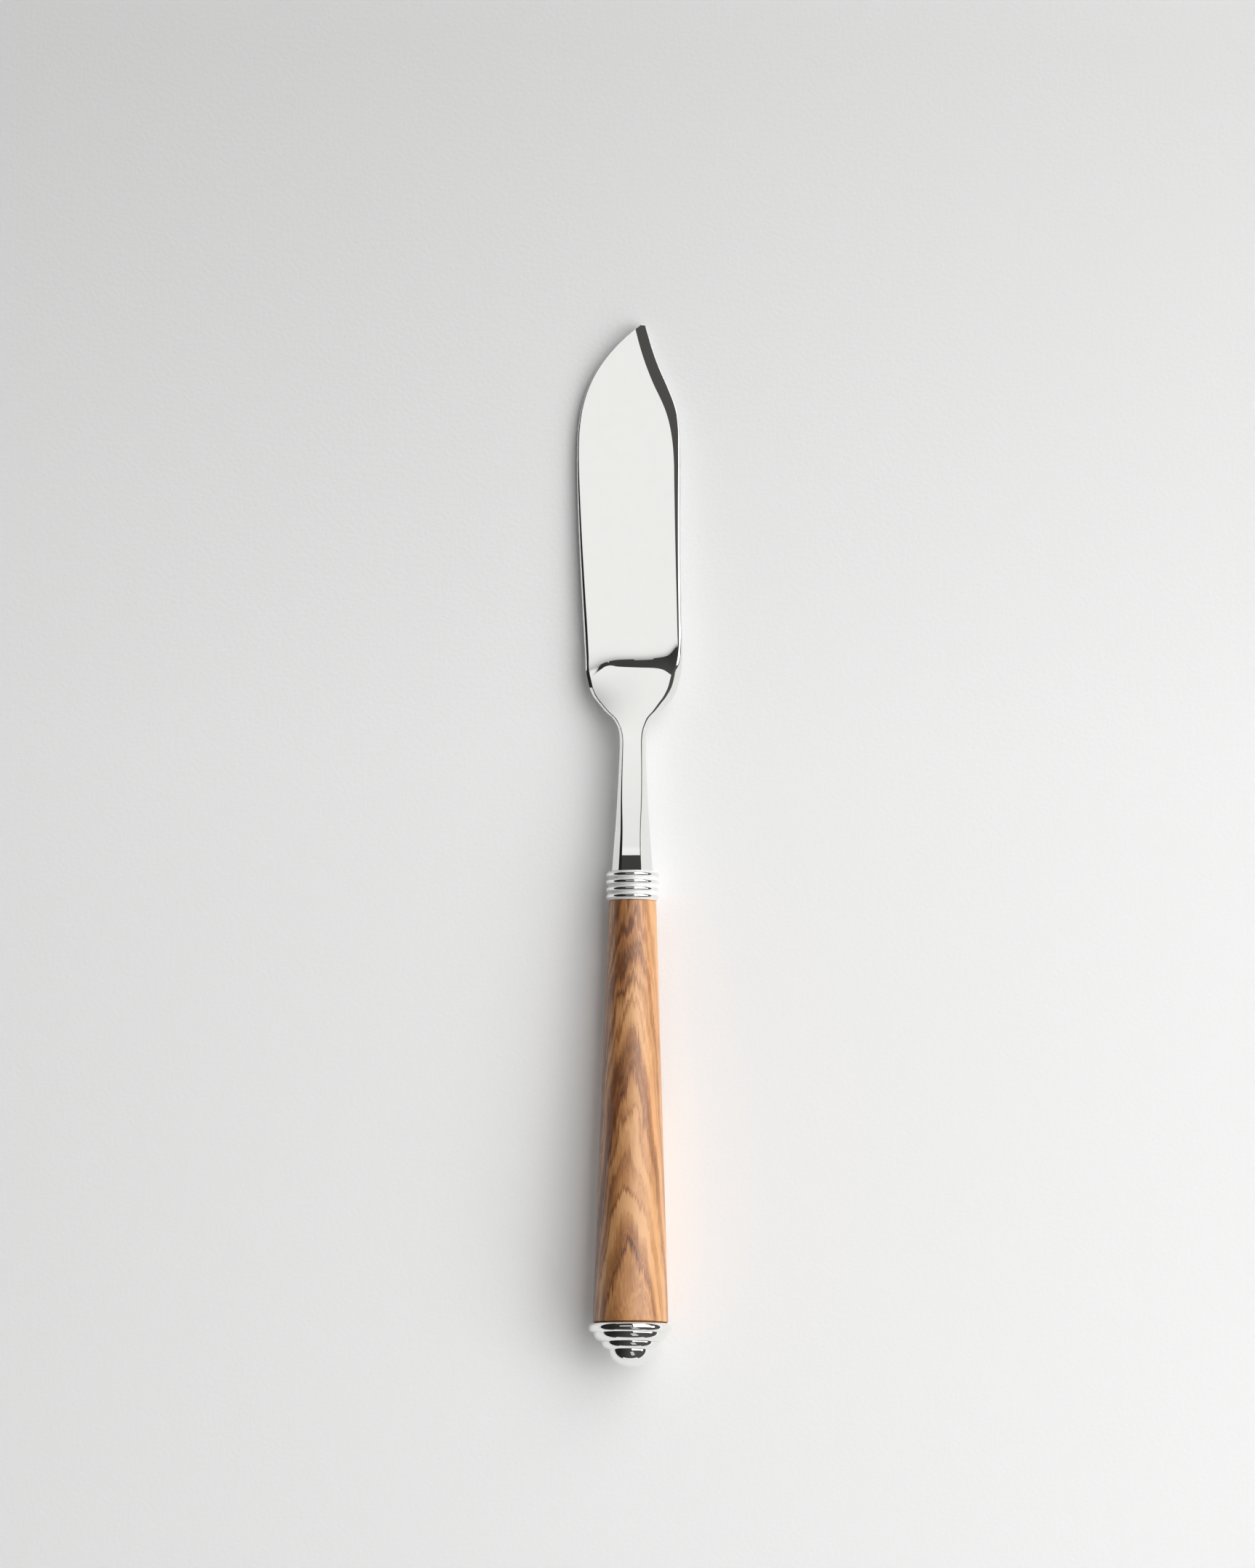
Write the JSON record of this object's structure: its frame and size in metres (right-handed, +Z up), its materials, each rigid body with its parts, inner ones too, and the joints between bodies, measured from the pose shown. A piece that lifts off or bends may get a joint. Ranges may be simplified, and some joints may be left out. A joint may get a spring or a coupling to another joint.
{
  "type": "fish knife",
  "caption": "Fish knife lying flat: polished steel blade with a swept point and faceted neck, beaded ferrule, tapered olive-wood handle and stepped pommel.",
  "frame": {"origin": "centre of the underside of the knife's bounding box, on the table it lies on", "axes": "+Z up from the table, +Y from the pommel towards the blade's tip, +X towards the spine side of the blade as seen from above"},
  "size_m": [0.0224, 0.2199, 0.0176],
  "materials": {
    "polished_steel": "polished",
    "bright_fittings": "polished",
    "olive_wood": "satin",
    "dark_seal": "matte",
    "rod_steel": "satin",
    "resin": "gloss"
  },
  "bodies": {
    "root": {"blade": "polished_steel", "ferrule": "bright_fittings", "handle": "olive_wood", "pommel": "bright_fittings", "pommel_seal": "dark_seal", "tang_rod": "rod_steel", "tang_bedding": "resin", "tang_washer": "rod_steel", "tang_nut": "rod_steel"}
  },
  "joints": []
}
